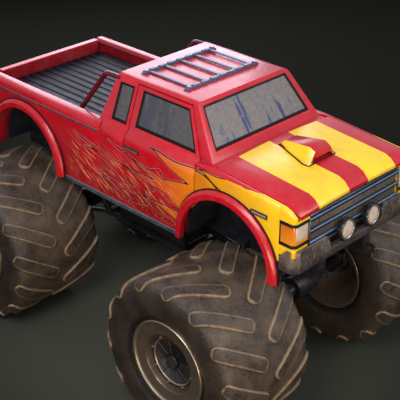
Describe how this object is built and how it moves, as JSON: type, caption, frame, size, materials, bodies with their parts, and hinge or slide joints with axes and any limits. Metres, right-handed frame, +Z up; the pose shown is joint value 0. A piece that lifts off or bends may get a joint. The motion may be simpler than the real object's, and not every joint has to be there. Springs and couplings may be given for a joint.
{
  "type": "monster truck",
  "caption": "Pickup-bodied monster truck: steel chassis on live axles, four oversized lugged tyres, steering front wheels, opening doors, bonnet and tailgate.",
  "frame": {"origin": "on the ground, midway between the axles and on the truck's centre plane", "axes": "+X forward, +Y to the truck's left, +Z up"},
  "size_m": [4.608, 3.35, 2.922],
  "materials": {
    "tyre_rubber": "matte",
    "rim_steel": "satin",
    "paint_red": "gloss",
    "glass_smoked": "gloss",
    "steel_scuffed": "satin",
    "chrome_blue": "gloss",
    "lamp": "gloss",
    "lamp_black": "gloss",
    "lamp_red": "gloss",
    "liner_grey": "matte",
    "strip_grey": "satin",
    "rack_grey": "satin",
    "maroon_tube": "satin",
    "chassis_dark": "satin",
    "cast_dark": "matte",
    "axle_steel": "satin",
    "spring_steel": "gloss",
    "seat_cloth": "matte",
    "trim_black": "matte"
  },
  "bodies": {
    "root": {"bed_bars": "maroon_tube", "bed_liner": "liner_grey", "bed_strips": "strip_grey", "belly_cradle": "chassis_dark", "cab_shell": "paint_red", "cargo_bed": "paint_red", "dashboard": "trim_black", "drive_shafts": "axle_steel", "engine_block": "cast_dark", "fascia": "paint_red", "flares_front": "paint_red", "flares_rear": "paint_red", "frame": "chassis_dark", "front_axle": "axle_steel", "front_bumper": "steel_scuffed", "front_wings": "paint_red", "gearbox": "cast_dark", "grille": "chrome_blue", "headlamps": "lamp", "quarter_windows": "glass_smoked", "rear_axle": "axle_steel", "rear_bumper": "steel_scuffed", "rear_window": "glass_smoked", "roof_rack": "rack_grey", "seats": "seat_cloth", "shock_absorbers": "spring_steel", "side_markers": "lamp", "sill_strips": "strip_grey", "spot_lamps": "lamp_black", "steering_wheel": "trim_black", "suspension_links": "axle_steel", "tail_lamps": "lamp_red", "transfer_case": "cast_dark", "wheelhouses": "trim_black", "windscreen": "glass_smoked"},
    "door_left": {"door_left": "paint_red", "door_glass_left": "glass_smoked"},
    "door_right": {"door_right": "paint_red", "door_glass_right": "glass_smoked"},
    "bonnet": {"bonnet": "paint_red"},
    "tailgate": {"tailgate": "paint_red"},
    "knuckle_left": {"knuckle_left": "axle_steel"},
    "knuckle_right": {"knuckle_right": "axle_steel"},
    "tie_rod": {"tie_rod": "axle_steel"},
    "wheel_front_left": {"tyre_front_left": "tyre_rubber", "rim_front_left": "rim_steel"},
    "wheel_front_right": {"tyre_front_right": "tyre_rubber", "rim_front_right": "rim_steel"},
    "wheel_rear_left": {"tyre_rear_left": "tyre_rubber", "rim_rear_left": "rim_steel"},
    "wheel_rear_right": {"tyre_rear_right": "tyre_rubber", "rim_rear_right": "rim_steel"}
  },
  "joints": [
    {"name": "steer_left", "type": "hinge", "parent": "root", "child": "knuckle_left", "pos_m": [1.466, 0.93, 0.838], "axis": [0, 0, 1], "range_deg": [-20, 20]},
    {"name": "steer_right", "type": "hinge", "parent": "root", "child": "knuckle_right", "pos_m": [1.466, -0.93, 0.838], "axis": [0, 0, 1], "range_deg": [-20, 20]},
    {"name": "tie_rod_swing", "type": "hinge", "parent": "knuckle_left", "child": "tie_rod", "pos_m": [1.266, 0.93, 0.777], "axis": [0, 0, 1], "range_deg": [-20, 20]},
    {"name": "spin_front_left", "type": "hinge", "parent": "knuckle_left", "child": "wheel_front_left", "pos_m": [1.466, 1.123, 0.838], "axis": [0, 1, 0], "continuous": true},
    {"name": "spin_front_right", "type": "hinge", "parent": "knuckle_right", "child": "wheel_front_right", "pos_m": [1.466, -1.123, 0.838], "axis": [0, 1, 0], "continuous": true},
    {"name": "spin_rear_left", "type": "hinge", "parent": "root", "child": "wheel_rear_left", "pos_m": [-1.466, 1.123, 0.838], "axis": [0, 1, 0], "continuous": true},
    {"name": "spin_rear_right", "type": "hinge", "parent": "root", "child": "wheel_rear_right", "pos_m": [-1.466, -1.123, 0.838], "axis": [0, 1, 0], "continuous": true},
    {"name": "door_left_swing", "type": "hinge", "parent": "root", "child": "door_left", "pos_m": [1.032, 0.87, 2.1], "axis": [0, 0, -1], "range_deg": [0, 65]},
    {"name": "door_right_swing", "type": "hinge", "parent": "root", "child": "door_right", "pos_m": [1.032, -0.87, 2.1], "axis": [0, 0, 1], "range_deg": [0, 65]},
    {"name": "bonnet_lift", "type": "hinge", "parent": "root", "child": "bonnet", "pos_m": [1.284, 0, 2.49], "axis": [0, -1, 0], "range_deg": [0, 50]},
    {"name": "tailgate_drop", "type": "hinge", "parent": "root", "child": "tailgate", "pos_m": [-2.132, 0, 1.975], "axis": [0, -1, 0], "range_deg": [0, 90]}
  ],
  "couplings": [
    {"joint": "steer_right", "follows": "steer_left", "ratio": 1},
    {"joint": "tie_rod_swing", "follows": "steer_left", "ratio": -1}
  ]
}
